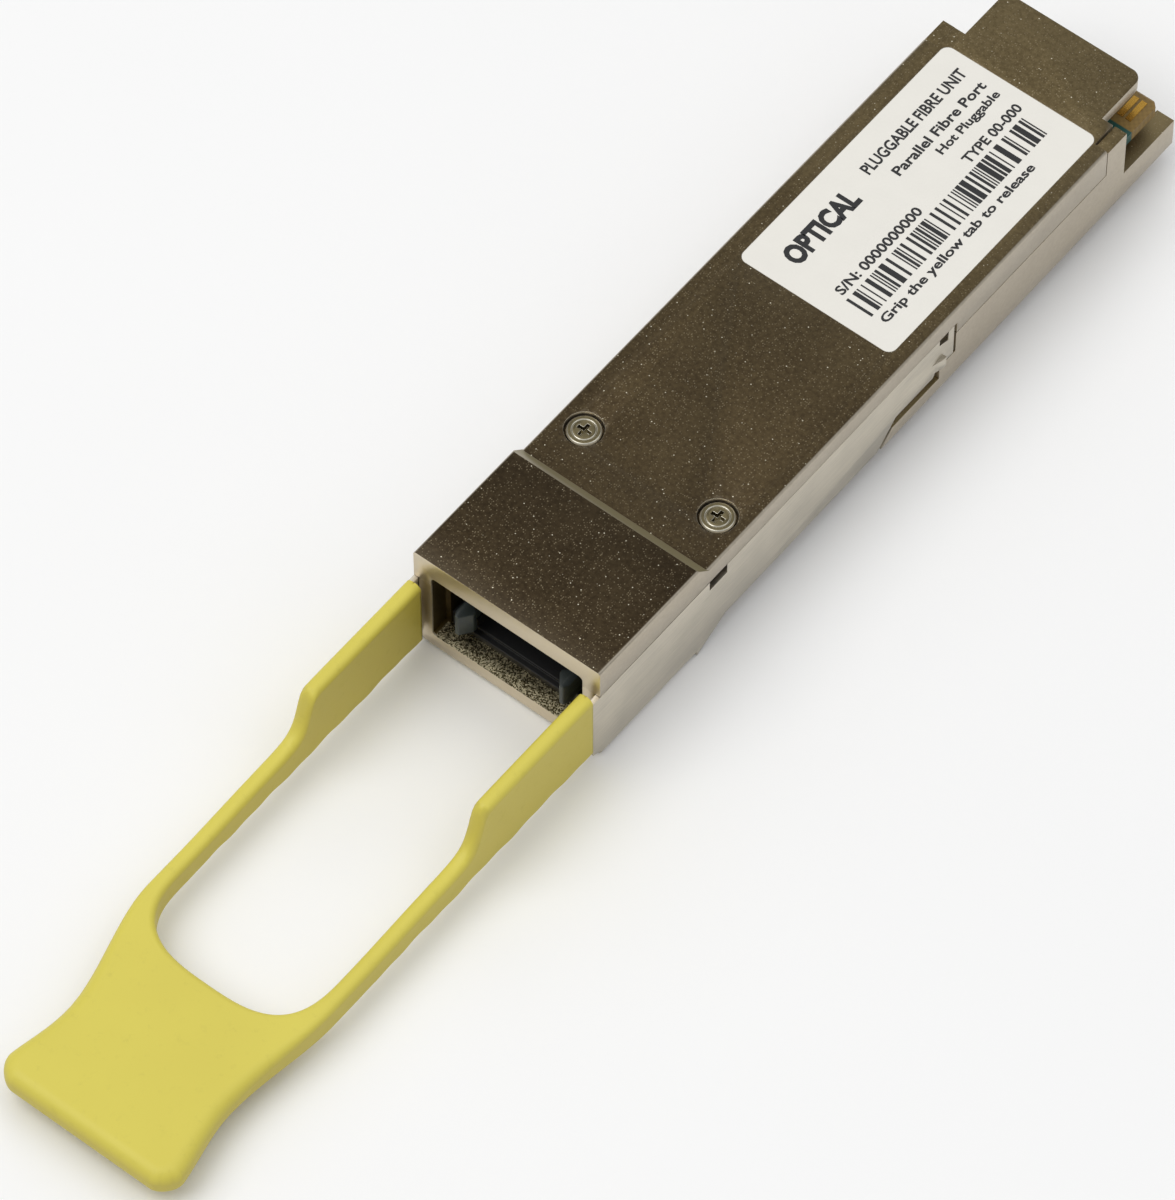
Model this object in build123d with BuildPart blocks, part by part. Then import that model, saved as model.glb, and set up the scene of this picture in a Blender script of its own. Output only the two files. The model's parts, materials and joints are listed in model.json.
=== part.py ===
from build123d import *
import os

# Pluggable optical transceiver with a parallel-fibre port and a soft pull tab.
# All sizes in millimetres.  X is across the module, Y runs from the fibre port
# at the front (0) to the edge connector at the rear, Z is up.  The origin is
# the middle of the front edge, on the plane of the flat underside that slides
# on the floor of the cage.

# ---------------------------------------------------------------- body sizes
body_width = 18.35
body_height = 8.5
body_length = 74.2
half_width = body_width / 2

nose_length = 12.1          # raised front part that stays outside the cage
nose_raise = 1.2            # how far the nose stands above the body
nose_drop = 1.95            # how far the nose hangs below the body
nose_top_ramp = 1.2
nose_bottom_ramp = 3.4
parting_height = 6.6        # plane where the two castings meet
skirt_height = 5.35         # the cover reaches lower behind the slider arms
skirt_thickness = 1.0
seam_gap = 0.07

roof_thickness = 1.2
floor_thickness = 1.2
wall_thickness = 1.05
edge_round = 0.3

# ---------------------------------------------------------------- rear end
cover_end = 67.2            # rear edge of the wide part of the cover
cover_half_width = 7.9      # cover width beside the rear corner posts
tongue_end = 72.7
tongue_half_width = 6.85
tongue_corner = 1.0
post_start = 64.9
wall_end = 67.4
post_height = 8.2
lip_rail_height = 2.95
lip_floor_height = 2.5
lip_rail_width = 1.7
fit_gap = 0.1

# ---------------------------------------------------------------- front port
port_half_width = 7.45
port_floor = -0.1
port_ceiling = 7.6
port_corner = 0.4
port_depth = 12.6
port_step_depth = 1.7       # the port narrows behind its front frame
port_inner_half_width = 6.95

# ---------------------------------------------------------------- slider
sheet = 0.45                # thickness of the release slider
slide_gap = 0.08
pull_stroke = 2.2
arm_outer = half_width
arm_inner = arm_outer - sheet
shell_side = arm_inner - slide_gap     # side of the lower casting behind the arms
arm_top = parting_height - slide_gap
arm_rear_top = parting_height - 0.03
arm_end = 44.8
arm_bottom = 0.1
strap_start = 0.25
strap_end = 11.0
strap_bend = 0.9
foot_ramp_start = 35.0      # where the arm tapers towards the latch
foot_rise_end = 37.4
latch_edge = 2.35
barb_start = 42.5
barb_height = 4.1
rail_height = 1.4
insert_depth = 11.0         # length of steel held inside the pull tab
insert_offset = 0.42
insert_step = 0.15          # the steel steps in where the moulding starts
insert_jog = 0.85
insert_floor = 0.4
insert_top = 6.0

# ---------------------------------------------------------------- spring
spring_coil = 0.92
spring_wire = 0.18
spring_turns = 11
spring_front = 6.6
tab_window_start = 13.6
tab_window_end = 15.8
tab_window_floor = 5.45
spring_x = shell_side - 0.53
spring_z = 5.92
spring_pocket_half = 0.52

# ---------------------------------------------------------------- pull tab
tab_start = -0.85
tab_plate_end = -13.7
tab_dip_end = -17.6
tab_plate_top = 7.1
tab_arm_top = 2.5
tab_bottom = -0.6
tab_thickness = 1.36
tab_inner = half_width - tab_thickness
tab_length = 52.1
tab_waist = 7.6
tab_flare = 8.6
tab_window_front = 36.3
tab_pad_round = 1.0
tab_edge_round = 0.45

# ---------------------------------------------------------------- fibre port parts
receptacle_front = 1.8
receptacle_rear = 12.75
plug_half_width = 4.8
plug_floor = 0.75
plug_ceiling = 6.85
plug_depth = 10.4
ferrule_width = 6.4
ferrule_height = 2.5
ferrule_front = 6.4
ferrule_rear = 14.6
ferrule_z = 3.8
pin_radius = 0.35
pin_pitch = 4.6
pin_front = 4.6
latch_tip = 0.2
latch_root = 8.6
latch_inner = 4.85
latch_thickness = 0.75
latch_hook = 0.6
latch_floor = 1.7
latch_ceiling = 4.1
latch_root_radius = 0.42
latch_socket_gap = 0.05

# ---------------------------------------------------------------- board
board_bottom = 4.3
board_thickness = 1.0
board_top = board_bottom + board_thickness
board_front = 22.6
board_rear = 73.4
board_half_width = 7.3
paddle_half_width = 8.21
paddle_start = 67.9
paddle_corner = 0.6
pad_pitch = 0.8
pads_per_side = 19
pad_width = 0.54
pad_length = 2.3
pad_thickness = 0.05

# ---------------------------------------------------------------- cover screws
screw_x = 6.6
screw_y = 17.85
screw_head = 2.9
screw_head_height = 0.75
screw_thread = 1.6
screw_length = 5.2
screw_recess = 3.3
screw_recess_depth = 0.85
screw_cross = 1.25
screw_slot = 0.32
screw_ring = 0.98            # middle radius of the turned ring in the head
screw_ring_width = 0.1
screw_ring_depth = 0.07
boss_radius = 1.65

# ---------------------------------------------------------------- label
label_start = 38.3
label_end = 65.4
label_left = -7.4
label_right = 7.75
label_thickness = 0.08      # also the depth of the pocket it is stuck into
label_corner = 0.75
label_margin = 0.03

os.makedirs("parts", exist_ok=True)


def block(x0, x1, y0, y1, z0, z1, mode=Mode.ADD):
    """Add or cut a box given by its limits along the three axes."""
    with Locations(((x0 + x1) / 2, (y0 + y1) / 2, (z0 + z1) / 2)):
        Box(abs(x1 - x0), abs(y1 - y0), abs(z1 - z0), mode=mode)


def side_plate(x0, x1, outline, mode=Mode.ADD):
    """Extrude an outline drawn in the side view (Y, Z) between two X limits."""
    with BuildSketch(Plane.YZ.offset(x0)) as profile:
        with BuildLine():
            Polyline(*outline, close=True)
        make_face()
    extrude(profile.sketch, amount=x1 - x0, mode=mode)


def both_sides(x0, x1, y0, y1, z0, z1, mode=Mode.ADD):
    """The same box on the left and on the right of the module."""
    block(x0, x1, y0, y1, z0, z1, mode)
    block(-x1, -x0, y0, y1, z0, z1, mode)


def label_outline(margin):
    """Rounded outline of the label, grown by a margin, on a plane of its own."""
    with BuildSketch(Plane.XY.offset(body_height)) as outline:
        with Locations(((label_left + label_right) / 2, (label_start + label_end) / 2)):
            RectangleRounded(
                label_right - label_left + 2 * margin,
                label_end - label_start + 2 * margin,
                label_corner,
            )
    return outline.sketch


# ------------------------------------------------------------------ upper shell
with BuildPart() as upper_shell:
    # side outline of the cover: raised nose, ramp, then the flat top
    side_plate(
        -half_width,
        half_width,
        [
            (0, parting_height),
            (0, body_height + nose_raise),
            (nose_length, body_height + nose_raise),
            (nose_length + nose_top_ramp, body_height),
            (cover_end, body_height),
            (cover_end, parting_height),
        ],
    )
    # soft long edges along the top
    top_edges = upper_shell.edges().filter_by(Axis.Y).group_by(Axis.Z)
    fillet(top_edges[-1] + top_edges[-2], radius=edge_round)
    # room over the fibre receptacle in the nose
    block(-port_inner_half_width, port_inner_half_width, -1, port_depth,
          parting_height - 1, port_ceiling, Mode.SUBTRACT)
    with BuildSketch(Plane.XZ):
        with Locations((0, (parting_height - 3 + port_ceiling) / 2)):
            RectangleRounded(2 * port_half_width, port_ceiling - parting_height + 3, port_corner)
    extrude(amount=-port_step_depth, mode=Mode.SUBTRACT)
    # room over the circuit board
    block(-half_width + 1.425, half_width - 1.425, port_depth, post_start - 1.5,
          parting_height - 1, body_height - roof_thickness, Mode.SUBTRACT)
    # the cover steps in beside the rear corner posts
    both_sides(cover_half_width, half_width + 1, post_start - fit_gap, cover_end + 1,
               parting_height - 1, body_height + 1, Mode.SUBTRACT)
    block(-cover_half_width, cover_half_width, post_start - 1.5, cover_end + 1,
          parting_height - 1, body_height - roof_thickness, Mode.SUBTRACT)
    # tongue over the edge connector
    with BuildSketch(Plane.XY.offset(body_height - roof_thickness)):
        with BuildLine():
            Polyline(
                (-tongue_half_width, cover_end - 0.5),
                (-tongue_half_width, tongue_end),
                (tongue_half_width, tongue_end),
                (tongue_half_width, cover_end - 0.5),
                close=True,
            )
        make_face()
        tongue_corners = vertices().group_by(Axis.Y)[-1]
        fillet(tongue_corners, radius=tongue_corner)
    extrude(amount=roof_thickness)
    # screw holes with flat-bottomed ring recesses
    with Locations((screw_x, screw_y, body_height), (-screw_x, screw_y, body_height)):
        CounterBoreHole(
            radius=screw_thread / 2 + 0.1,
            counter_bore_radius=screw_recess / 2,
            counter_bore_depth=screw_recess_depth,
            depth=body_height - parting_height + 1,
        )
    # skirt along each rear side, closing down onto a ledge of the lower shell
    both_sides(half_width - skirt_thickness, half_width, arm_end + 0.3 + seam_gap, post_start - fit_gap,
               skirt_height, parting_height + 0.2)
    # shallow pocket that the label is stuck into
    extrude(label_outline(label_margin), amount=-label_thickness, mode=Mode.SUBTRACT)
upper_shell.part.label = "upper_shell"
export_step(upper_shell.part, "parts/upper_shell.step")


# ------------------------------------------------------------------ lower shell
nose_floor = -nose_drop + sheet + 0.05
ramp_start = nose_length + 0.3
ramp_end = ramp_start + nose_bottom_ramp

with BuildPart() as lower_shell:
    # nose and front half, narrow enough for the slider arms to lie outside
    side_plate(
        -shell_side,
        shell_side,
        [
            (0, nose_floor),
            (ramp_start, nose_floor),
            (ramp_end, 0),
            (arm_end + 0.3, 0),
            (arm_end + 0.3, parting_height),
            (0, parting_height),
        ],
    )
    # rounded lower edges of the nose, inside the rolled corners of the slider
    nose_edges = lower_shell.edges().filter_by(Axis.Y).group_by(Axis.Z)[0]
    fillet(nose_edges, radius=strap_bend - 0.2)
    # rear half at the full width, stepping down to the connector lip
    side_plate(
        -half_width,
        half_width,
        [
            (arm_end + 0.3, 0),
            (body_length, 0),
            (body_length, lip_rail_height),
            (wall_end, lip_rail_height),
            (wall_end, parting_height),
            (arm_end + 0.3, parting_height),
        ],
    )
    # low rail that carries the latch pocket
    side_plate(
        -half_width,
        half_width,
        [
            (foot_ramp_start + 0.55, 0),
            (arm_end + 0.4, 0),
            (arm_end + 0.4, rail_height),
            (foot_ramp_start + 0.55 + rail_height, rail_height),
        ],
    )
    # stop behind the barb of each arm
    both_sides(shell_side - 0.2, half_width, barb_start + 0.55, arm_end + 0.4, 0, 2.9)
    # ledge that carries the skirt of the cover
    both_sides(half_width - skirt_thickness - seam_gap, half_width + 1, arm_end + 0.3, post_start,
               skirt_height - seam_gap, parting_height + 1, Mode.SUBTRACT)
    # rear corner posts standing beside the cover
    both_sides(cover_half_width + fit_gap, half_width, post_start, wall_end,
               parting_height - 0.5, post_height)
    # fibre port: wide mouth, then a narrower chamber
    block(-port_inner_half_width, port_inner_half_width, port_step_depth - 0.5, port_depth + 0.2,
          port_floor, parting_height + 1, Mode.SUBTRACT)
    with BuildSketch(Plane.XZ):
        with Locations((0, (port_floor + port_ceiling) / 2)):
            RectangleRounded(2 * port_half_width, port_ceiling - port_floor, port_corner)
    extrude(amount=-port_step_depth, mode=Mode.SUBTRACT)
    # doorway behind the receptacle for the ferrule
    block(-4.6, 4.6, port_depth, port_depth + 2.4, 1.6, parting_height + 1, Mode.SUBTRACT)
    # main chamber under the circuit board
    block(-half_width + 1.575, half_width - 1.575, port_depth + 1.9, wall_end - 1.2,
          floor_thickness, parting_height + 1, Mode.SUBTRACT)
    # rear doorway for the paddle end of the board and the lip floor behind it
    block(-half_width + lip_rail_width, half_width - lip_rail_width, wall_end - 1.5, body_length + 1,
          lip_floor_height, parting_height + 1, Mode.SUBTRACT)
    # screw bosses
    for side in (-1, 1):
        with BuildSketch(Plane.XY.offset(floor_thickness - 0.4)):
            with Locations((side * (screw_x - 0.1), screw_y)):
                Circle(boss_radius)
        extrude(amount=parting_height - floor_thickness + 0.4)
    with Locations((screw_x, screw_y, parting_height), (-screw_x, screw_y, parting_height)):
        Hole(radius=screw_thread / 2, depth=4.4)
    # feet under the circuit board
    for foot_y in (25.4, 44.0, 62.4):
        both_sides(5.9, half_width - 1.4, foot_y - 0.8, foot_y + 0.8, floor_thickness - 0.2, board_bottom)
    # pockets for the return springs, open towards the slider arms
    both_sides(spring_x - spring_pocket_half, shell_side + 1, spring_front, tab_window_end + 0.3,
               spring_z - spring_pocket_half, parting_height + 0.01, Mode.SUBTRACT)
lower_shell.part.label = "lower_shell"
export_step(lower_shell.part, "parts/lower_shell.step")


# ------------------------------------------------------------------ release slider
def slider_arm(side):
    """One side arm of the slider, drawn in the side view and cut from sheet."""
    x0 = arm_inner if side > 0 else -arm_outer
    x1 = arm_outer if side > 0 else -arm_inner
    side_plate(
        x0,
        x1,
        [
            (tab_start, -nose_drop + 1.4),
            (strap_start, -nose_drop + strap_bend),
            (strap_start, -nose_drop + 0.2),
            (ramp_start - 0.3, -nose_drop + 0.2),
            (ramp_end - 0.1, arm_bottom),
            (foot_ramp_start, arm_bottom),
            (foot_rise_end, latch_edge),
            (barb_start - 0.3, latch_edge),
            (barb_start + 0.1, 3.0),
            (arm_end, 3.0),
            (arm_end, arm_rear_top),
            (44.05, arm_rear_top),
            (44.05, 5.5),
            (42.9, 5.9),
            (42.9, arm_rear_top),
            (36.6, arm_rear_top),
            (36.4, arm_top),
            (tab_window_end, arm_top),
            (tab_window_end, tab_window_floor),
            (tab_window_start, tab_window_floor),
            (tab_window_start, arm_top),
            (tab_start, arm_top),
        ],
    )


def insert_steel(side, mode=Mode.ADD):
    """The end of an arm that jogs inwards and is held inside the pull tab."""
    root = arm_outer - insert_step
    inner = arm_inner - insert_offset
    outer = arm_outer - insert_offset
    with BuildSketch(Plane.XY.offset(insert_floor)) as profile:
        with BuildLine():
            Polyline(
                (side * root, tab_start + 0.3),
                (side * arm_inner, tab_start + 0.3),
                (side * arm_inner, tab_start),
                (side * inner, tab_start - insert_jog),
                (side * inner, -insert_depth),
                (side * outer, -insert_depth),
                (side * outer, tab_start - insert_jog),
                (side * root, tab_start),
                close=True,
            )
        make_face()
    extrude(profile.sketch, amount=insert_top - insert_floor, mode=mode)


with BuildPart() as release_slider:
    slider_arm(1)
    slider_arm(-1)
    # strap under the nose with rolled corners
    with BuildSketch(Plane.XZ.offset(-strap_start)):
        with Locations((0, -nose_drop + 1.5)):
            RectangleRounded(2 * arm_outer, 3.0, strap_bend)
        with Locations((0, -nose_drop + 1.5)):
            RectangleRounded(2 * arm_inner, 3.0 - 2 * sheet, strap_bend - sheet, mode=Mode.SUBTRACT)
        with Locations((0, -nose_drop + 3.0)):
            Rectangle(2 * arm_outer + 1, 3.6, mode=Mode.SUBTRACT)
    extrude(amount=-(strap_end - strap_start))
    # trim the sharp arm corners outside the rolled bend
    for side in (-1, 1):
        with BuildSketch(Plane.XZ.offset(2)):
            with BuildLine():
                Polyline(
                    (side * (arm_outer + 0.01), -nose_drop + strap_bend),
                    (side * (arm_outer + 0.01), -nose_drop - 0.01),
                    (side * (arm_outer - strap_bend), -nose_drop - 0.01),
                    close=True,
                )
            make_face()
            with Locations((side * (arm_outer - strap_bend), -nose_drop + strap_bend)):
                Circle(strap_bend, mode=Mode.SUBTRACT)
        extrude(amount=-(ramp_start + 1.7), mode=Mode.SUBTRACT)
    # the arms jog inwards and continue inside the pull tab
    insert_steel(1)
    insert_steel(-1)
    # holes that lock the moulded tab onto the steel
    for hole_y in (-4.2, -8.4):
        with BuildSketch(Plane.YZ.offset(-half_width - 1)):
            with Locations((hole_y, 3.2)):
                Circle(0.9)
        extrude(amount=2 * half_width + 2, mode=Mode.SUBTRACT)
    # tongues folded in at the side windows, pushing on the springs
    both_sides(spring_x - 0.42, arm_inner + 0.1, tab_window_start, tab_window_start + sheet,
               tab_window_floor + 0.05, parting_height - 0.25)
    # raised latch barbs near the tips of the arms
    for side in (-1, 1):
        with BuildSketch(Plane.XY.offset(3.0)):
            with BuildLine():
                Polyline(
                    (side * (arm_outer - 0.1), barb_start - 0.9),
                    (side * (arm_outer + 0.3), barb_start + 0.6),
                    (side * (arm_outer + 0.3), barb_start + 1.0),
                    (side * (arm_outer - 0.1), barb_start + 1.0),
                    close=True,
                )
            make_face()
        extrude(amount=barb_height - 3.0)
release_slider.part.label = "release_slider"
export_step(release_slider.part, "parts/release_slider.step")


# ------------------------------------------------------------------ pull tab
with BuildPart() as pull_tab:
    # plan view: two slender arms running into a waisted pad
    with BuildSketch(Plane.XY.offset(tab_bottom)):
        with BuildLine():
            right_arm = Line((half_width, tab_start), (half_width, -32.0))
            right_waist = Spline(
                right_arm @ 1,
                (8.45, -38.6),
                (tab_waist, -43.6),
                (tab_flare - 0.25, -49.4),
                (tab_flare, -50.8),
                tangents=((0, -1), (0.1, -1)),
            )
            right_corner = Spline(
                right_waist @ 1,
                (tab_flare - 1.2, -tab_length + 0.1),
                tangents=((0.1, -1), (-1, 0)),
            )
            end_line = Line(right_corner @ 1, (0, -tab_length + 0.1))
            mirror(about=Plane.YZ)
            Line((-half_width, tab_start), (half_width, tab_start))
        make_face()
        # finger window
        with BuildLine(mode=Mode.PRIVATE) as window:
            w1 = Line((tab_inner, tab_start + 4), (tab_inner, -29.2))
            w2 = Spline(
                w1 @ 1,
                (tab_inner - 1.0, -33.4),
                (3.6, -tab_window_front + 0.2),
                (0, -tab_window_front),
                tangents=((0, -1), (-1, 0)),
            )
            mirror(about=Plane.YZ)
            Line((-tab_inner, tab_start + 4), (tab_inner, tab_start + 4))
        make_face(window.edges(), mode=Mode.SUBTRACT)
    extrude(amount=tab_arm_top - tab_bottom)
    # the pad is a little thinner than the arms
    block(-half_width - 1, half_width + 1, -tab_length - 1, -34.5, tab_arm_top - 0.35,
          tab_arm_top + 1, Mode.SUBTRACT)
    # tall plates beside the nose, dipping down to the slender arms
    for side in (-1, 1):
        x0 = tab_inner if side > 0 else -half_width
        x1 = half_width if side > 0 else -tab_inner
        side_plate(
            x0,
            x1,
            [
                (tab_start, tab_bottom + 1),
                (tab_start, tab_plate_top),
                (tab_plate_end, tab_plate_top),
                (tab_plate_end - 1.3, tab_plate_top - 2.2),
                (tab_dip_end - 0.6, tab_arm_top),
                (tab_dip_end - 2.2, tab_arm_top - 0.5),
            ],
        )
    # soft outer edges of the pad
    pad_edges = pull_tab.edges().filter_by(lambda e: e.center().Y < -44)
    fillet(pad_edges, radius=0.6)
    # room for the steel held inside the moulding
    for side in (-1, 1):
        x0 = arm_inner - insert_offset
        insert_steel(side, Mode.SUBTRACT)
        for hole_y in (-4.2, -8.4):
            with BuildSketch(Plane.YZ.offset(side * (x0 + sheet / 2) - sheet / 2)):
                with Locations((hole_y, 3.2)):
                    Circle(0.9)
            extrude(amount=sheet)
pull_tab.part.label = "pull_tab"
export_step(pull_tab.part, "parts/pull_tab.step")


# ------------------------------------------------------------------ return springs
def coil(side):
    """One compression spring lying along Y beside the port."""
    free_length = tab_window_start - spring_front
    helix_radius = (spring_coil - spring_wire) / 2
    with BuildPart() as spring:
        with BuildLine() as path:
            Helix(
                pitch=(free_length - spring_wire) / spring_turns,
                height=free_length - spring_wire,
                radius=helix_radius,
                center=(side * spring_x, spring_front + spring_wire / 2, spring_z),
                direction=(0, 1, 0),
            )
        with BuildSketch(Plane(path.line @ 0, z_dir=path.line % 0)):
            Circle(spring_wire / 2)
        sweep(path=path.line, is_frenet=True)
    return spring


return_spring_left = coil(-1)
return_spring_left.part.label = "return_spring_left"
export_step(return_spring_left.part, "parts/return_spring_left.step")

return_spring_right = coil(1)
return_spring_right.part.label = "return_spring_right"
export_step(return_spring_right.part, "parts/return_spring_right.step")


# ------------------------------------------------------------------ cover screws
with BuildPart() as cover_screws:
    head_top = body_height - screw_recess_depth + screw_head_height
    for side in (-1, 1):
        with BuildSketch(Plane.XY.offset(head_top - screw_head_height)):
            with Locations((side * screw_x, screw_y)):
                Circle(screw_head / 2)
        extrude(amount=screw_head_height)
        with BuildSketch(Plane.XY.offset(head_top - screw_head_height - screw_length)):
            with Locations((side * screw_x, screw_y)):
                Circle(screw_thread / 2)
        extrude(amount=screw_length)
    chamfer(
        cover_screws.edges().filter_by(GeomType.CIRCLE).group_by(Axis.Z)[-1],
        length=0.15,
    )
    # cross recess in each head
    for side in (-1, 1):
        with BuildSketch(Plane.XY.offset(head_top)):
            with Locations((side * screw_x, screw_y)):
                Rectangle(screw_cross, screw_slot)
                Rectangle(screw_slot, screw_cross)
        extrude(amount=-0.5, mode=Mode.SUBTRACT)
        with BuildSketch(Plane.XY.offset(head_top)):
            with Locations((side * screw_x, screw_y)):
                Circle(screw_ring + screw_ring_width / 2)
                Circle(screw_ring - screw_ring_width / 2, mode=Mode.SUBTRACT)
        extrude(amount=-screw_ring_depth, mode=Mode.SUBTRACT)
cover_screws.part.label = "cover_screws"
export_step(cover_screws.part, "parts/cover_screws.step")


# ------------------------------------------------------------------ label
with BuildPart() as label:
    extrude(label_outline(0), amount=-label_thickness)
label.part.label = "label"
export_step(label.part, "parts/label.step")


# ------------------------------------------------------------------ fibre receptacle
latch_outer = latch_inner + latch_thickness
latch_mid_x = latch_inner + latch_thickness / 2

with BuildPart() as fibre_receptacle:
    block(-port_inner_half_width + 0.05, port_inner_half_width - 0.05, receptacle_front, receptacle_rear - 0.15,
          port_floor, port_ceiling)
    # cavity for the plug
    block(-plug_half_width, plug_half_width, receptacle_front - 1, plug_depth,
          plug_floor, plug_ceiling, Mode.SUBTRACT)
    # wider lead-in at the mouth of the cavity
    block(-plug_half_width - 0.3, plug_half_width + 0.3, receptacle_front - 1, receptacle_front + 0.5,
          plug_floor - 0.25, plug_ceiling + 0.25, Mode.SUBTRACT)
    # side slots in which the latches swing
    both_sides(plug_half_width - 0.5, port_inner_half_width + 0.5, receptacle_front - 1, latch_root,
               latch_floor - 0.15, latch_ceiling + 0.15, Mode.SUBTRACT)
    # round sockets for the latch roots
    for side in (-1, 1):
        with BuildSketch(Plane.XY.offset(latch_floor - 0.15)):
            with Locations((side * latch_mid_x, latch_root)):
                Circle(latch_root_radius + latch_socket_gap)
        extrude(amount=latch_ceiling - latch_floor + 0.3, mode=Mode.SUBTRACT)
    # passage for the ferrule through the rear wall
    block(-ferrule_width / 2, ferrule_width / 2, plug_depth - 1, receptacle_rear + 1,
          ferrule_z - ferrule_height / 2, ferrule_z + ferrule_height / 2, Mode.SUBTRACT)
fibre_receptacle.part.label = "fibre_receptacle"
export_step(fibre_receptacle.part, "parts/fibre_receptacle.step")


# ------------------------------------------------------------------ port latches
def port_latch(side):
    """Springy hook beside the plug, with a round root that seats in its socket."""
    with BuildPart() as latch:
        with BuildSketch(Plane.XY.offset(latch_floor)):
            with BuildLine():
                Polyline(
                    (side * latch_outer, latch_root),
                    (side * latch_outer, latch_tip + 0.5),
                    (side * (latch_outer - 0.25), latch_tip),
                    (side * (latch_inner + 0.15), latch_tip),
                    (side * (latch_inner - latch_hook), latch_tip + 1.0),
                    (side * (latch_inner - latch_hook), latch_tip + 1.35),
                    (side * latch_inner, latch_tip + 1.75),
                    (side * latch_inner, latch_root),
                    close=True,
                )
            make_face()
            with Locations((side * latch_mid_x, latch_root)):
                Circle(latch_root_radius)
        extrude(amount=latch_ceiling - latch_floor)
    return latch


port_latch_left = port_latch(-1)
port_latch_left.part.label = "port_latch_left"
export_step(port_latch_left.part, "parts/port_latch_left.step")

port_latch_right = port_latch(1)
port_latch_right.part.label = "port_latch_right"
export_step(port_latch_right.part, "parts/port_latch_right.step")


# ------------------------------------------------------------------ ferrule, pins, clip
with BuildPart() as ferrule:
    block(-ferrule_width / 2, ferrule_width / 2, ferrule_front, ferrule_rear - 1.8,
          ferrule_z - ferrule_height / 2, ferrule_z + ferrule_height / 2)
    block(-ferrule_width / 2 - 0.35, ferrule_width / 2 + 0.35, ferrule_rear - 1.8, ferrule_rear,
          ferrule_z - ferrule_height / 2 - 0.35, ferrule_z + ferrule_height / 2 + 0.35)
    # bores for the two guide pins
    with BuildSketch(Plane.XZ.offset(-ferrule_front)):
        with Locations((-pin_pitch / 2, ferrule_z), (pin_pitch / 2, ferrule_z)):
            Circle(pin_radius)
    extrude(amount=-(ferrule_rear - ferrule_front), mode=Mode.SUBTRACT)
ferrule.part.label = "ferrule"
export_step(ferrule.part, "parts/ferrule.step")

with BuildPart() as guide_pins:
    with BuildSketch(Plane.XZ.offset(-pin_front)):
        with Locations((-pin_pitch / 2, ferrule_z), (pin_pitch / 2, ferrule_z)):
            Circle(pin_radius)
    extrude(amount=-(ferrule_rear - pin_front))
    chamfer(guide_pins.edges().group_by(Axis.Y)[0], length=0.15)
guide_pins.part.label = "guide_pins"
export_step(guide_pins.part, "parts/guide_pins.step")

with BuildPart() as pin_clip:
    # plate behind the ferrule that keeps both pins from backing out
    block(-3.9, 3.9, ferrule_rear, ferrule_rear + 0.6, ferrule_z - 2.6, ferrule_z + 1.9)
    block(-1.7, 1.7, ferrule_rear - 1, ferrule_rear + 1, ferrule_z - 0.35, ferrule_z + 3, Mode.SUBTRACT)
pin_clip.part.label = "pin_clip"
export_step(pin_clip.part, "parts/pin_clip.step")

with BuildPart() as fibre_ribbon:
    # flat ribbon rising gently from the ferrule to the fibre block on the board
    ribbon_low = ferrule_z
    ribbon_high = board_top + 0.55
    with BuildSketch(Plane.YZ.offset(-1.55)):
        with BuildLine():
            r1 = Spline(
                (ferrule_rear, ribbon_low - 0.15),
                (ferrule_rear + 2.0, ribbon_low - 0.12),
                (board_front - 1.0, ribbon_high - 0.18),
                (board_front + 0.9, ribbon_high - 0.15),
                tangents=((1, 0), (1, 0)),
            )
            r2 = Spline(
                (ferrule_rear, ribbon_low + 0.15),
                (ferrule_rear + 2.0, ribbon_low + 0.18),
                (board_front - 1.0, ribbon_high + 0.12),
                (board_front + 0.9, ribbon_high + 0.15),
                tangents=((1, 0), (1, 0)),
            )
            Line(r1 @ 0, r2 @ 0)
            Line(r1 @ 1, r2 @ 1)
        make_face()
    extrude(amount=3.1)
fibre_ribbon.part.label = "fibre_ribbon"
export_step(fibre_ribbon.part, "parts/fibre_ribbon.step")


# ------------------------------------------------------------------ circuit board
with BuildPart() as circuit_board:
    block(-board_half_width, board_half_width, board_front, board_rear, board_bottom, board_top)
    with BuildSketch(Plane.XY.offset(board_bottom)):
        with BuildLine():
            Polyline(
                (-paddle_half_width, paddle_start),
                (-paddle_half_width, board_rear - paddle_corner),
                (-paddle_half_width + paddle_corner, board_rear),
                (paddle_half_width - paddle_corner, board_rear),
                (paddle_half_width, board_rear - paddle_corner),
                (paddle_half_width, paddle_start),
                close=True,
            )
        make_face()
    extrude(amount=board_thickness)
    # bevelled leading edge so the card slides into its socket
    leading = circuit_board.edges().filter_by(Axis.X).group_by(Axis.Y)[-1]
    chamfer(leading, length=0.25)
circuit_board.part.label = "circuit_board"
export_step(circuit_board.part, "parts/circuit_board.step")


def contact_row(z0):
    """A row of gold contact pads on one face of the paddle card."""
    with BuildPart() as row:
        with BuildSketch(Plane.XY.offset(z0)):
            with Locations((0, board_rear - 0.7 - pad_length / 2)):
                with GridLocations(pad_pitch, 1, pads_per_side, 1):
                    Rectangle(pad_width, pad_length)
        extrude(amount=pad_thickness)
    return row


contacts_top = contact_row(board_top)
contacts_top.part.label = "contacts_top"
export_step(contacts_top.part, "parts/contacts_top.step")

contacts_bottom = contact_row(board_bottom - pad_thickness)
contacts_bottom.part.label = "contacts_bottom"
export_step(contacts_bottom.part, "parts/contacts_bottom.step")


# ------------------------------------------------------------------ parts on the board
engine_front = 26.9
roof_inside = body_height - roof_thickness

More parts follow.
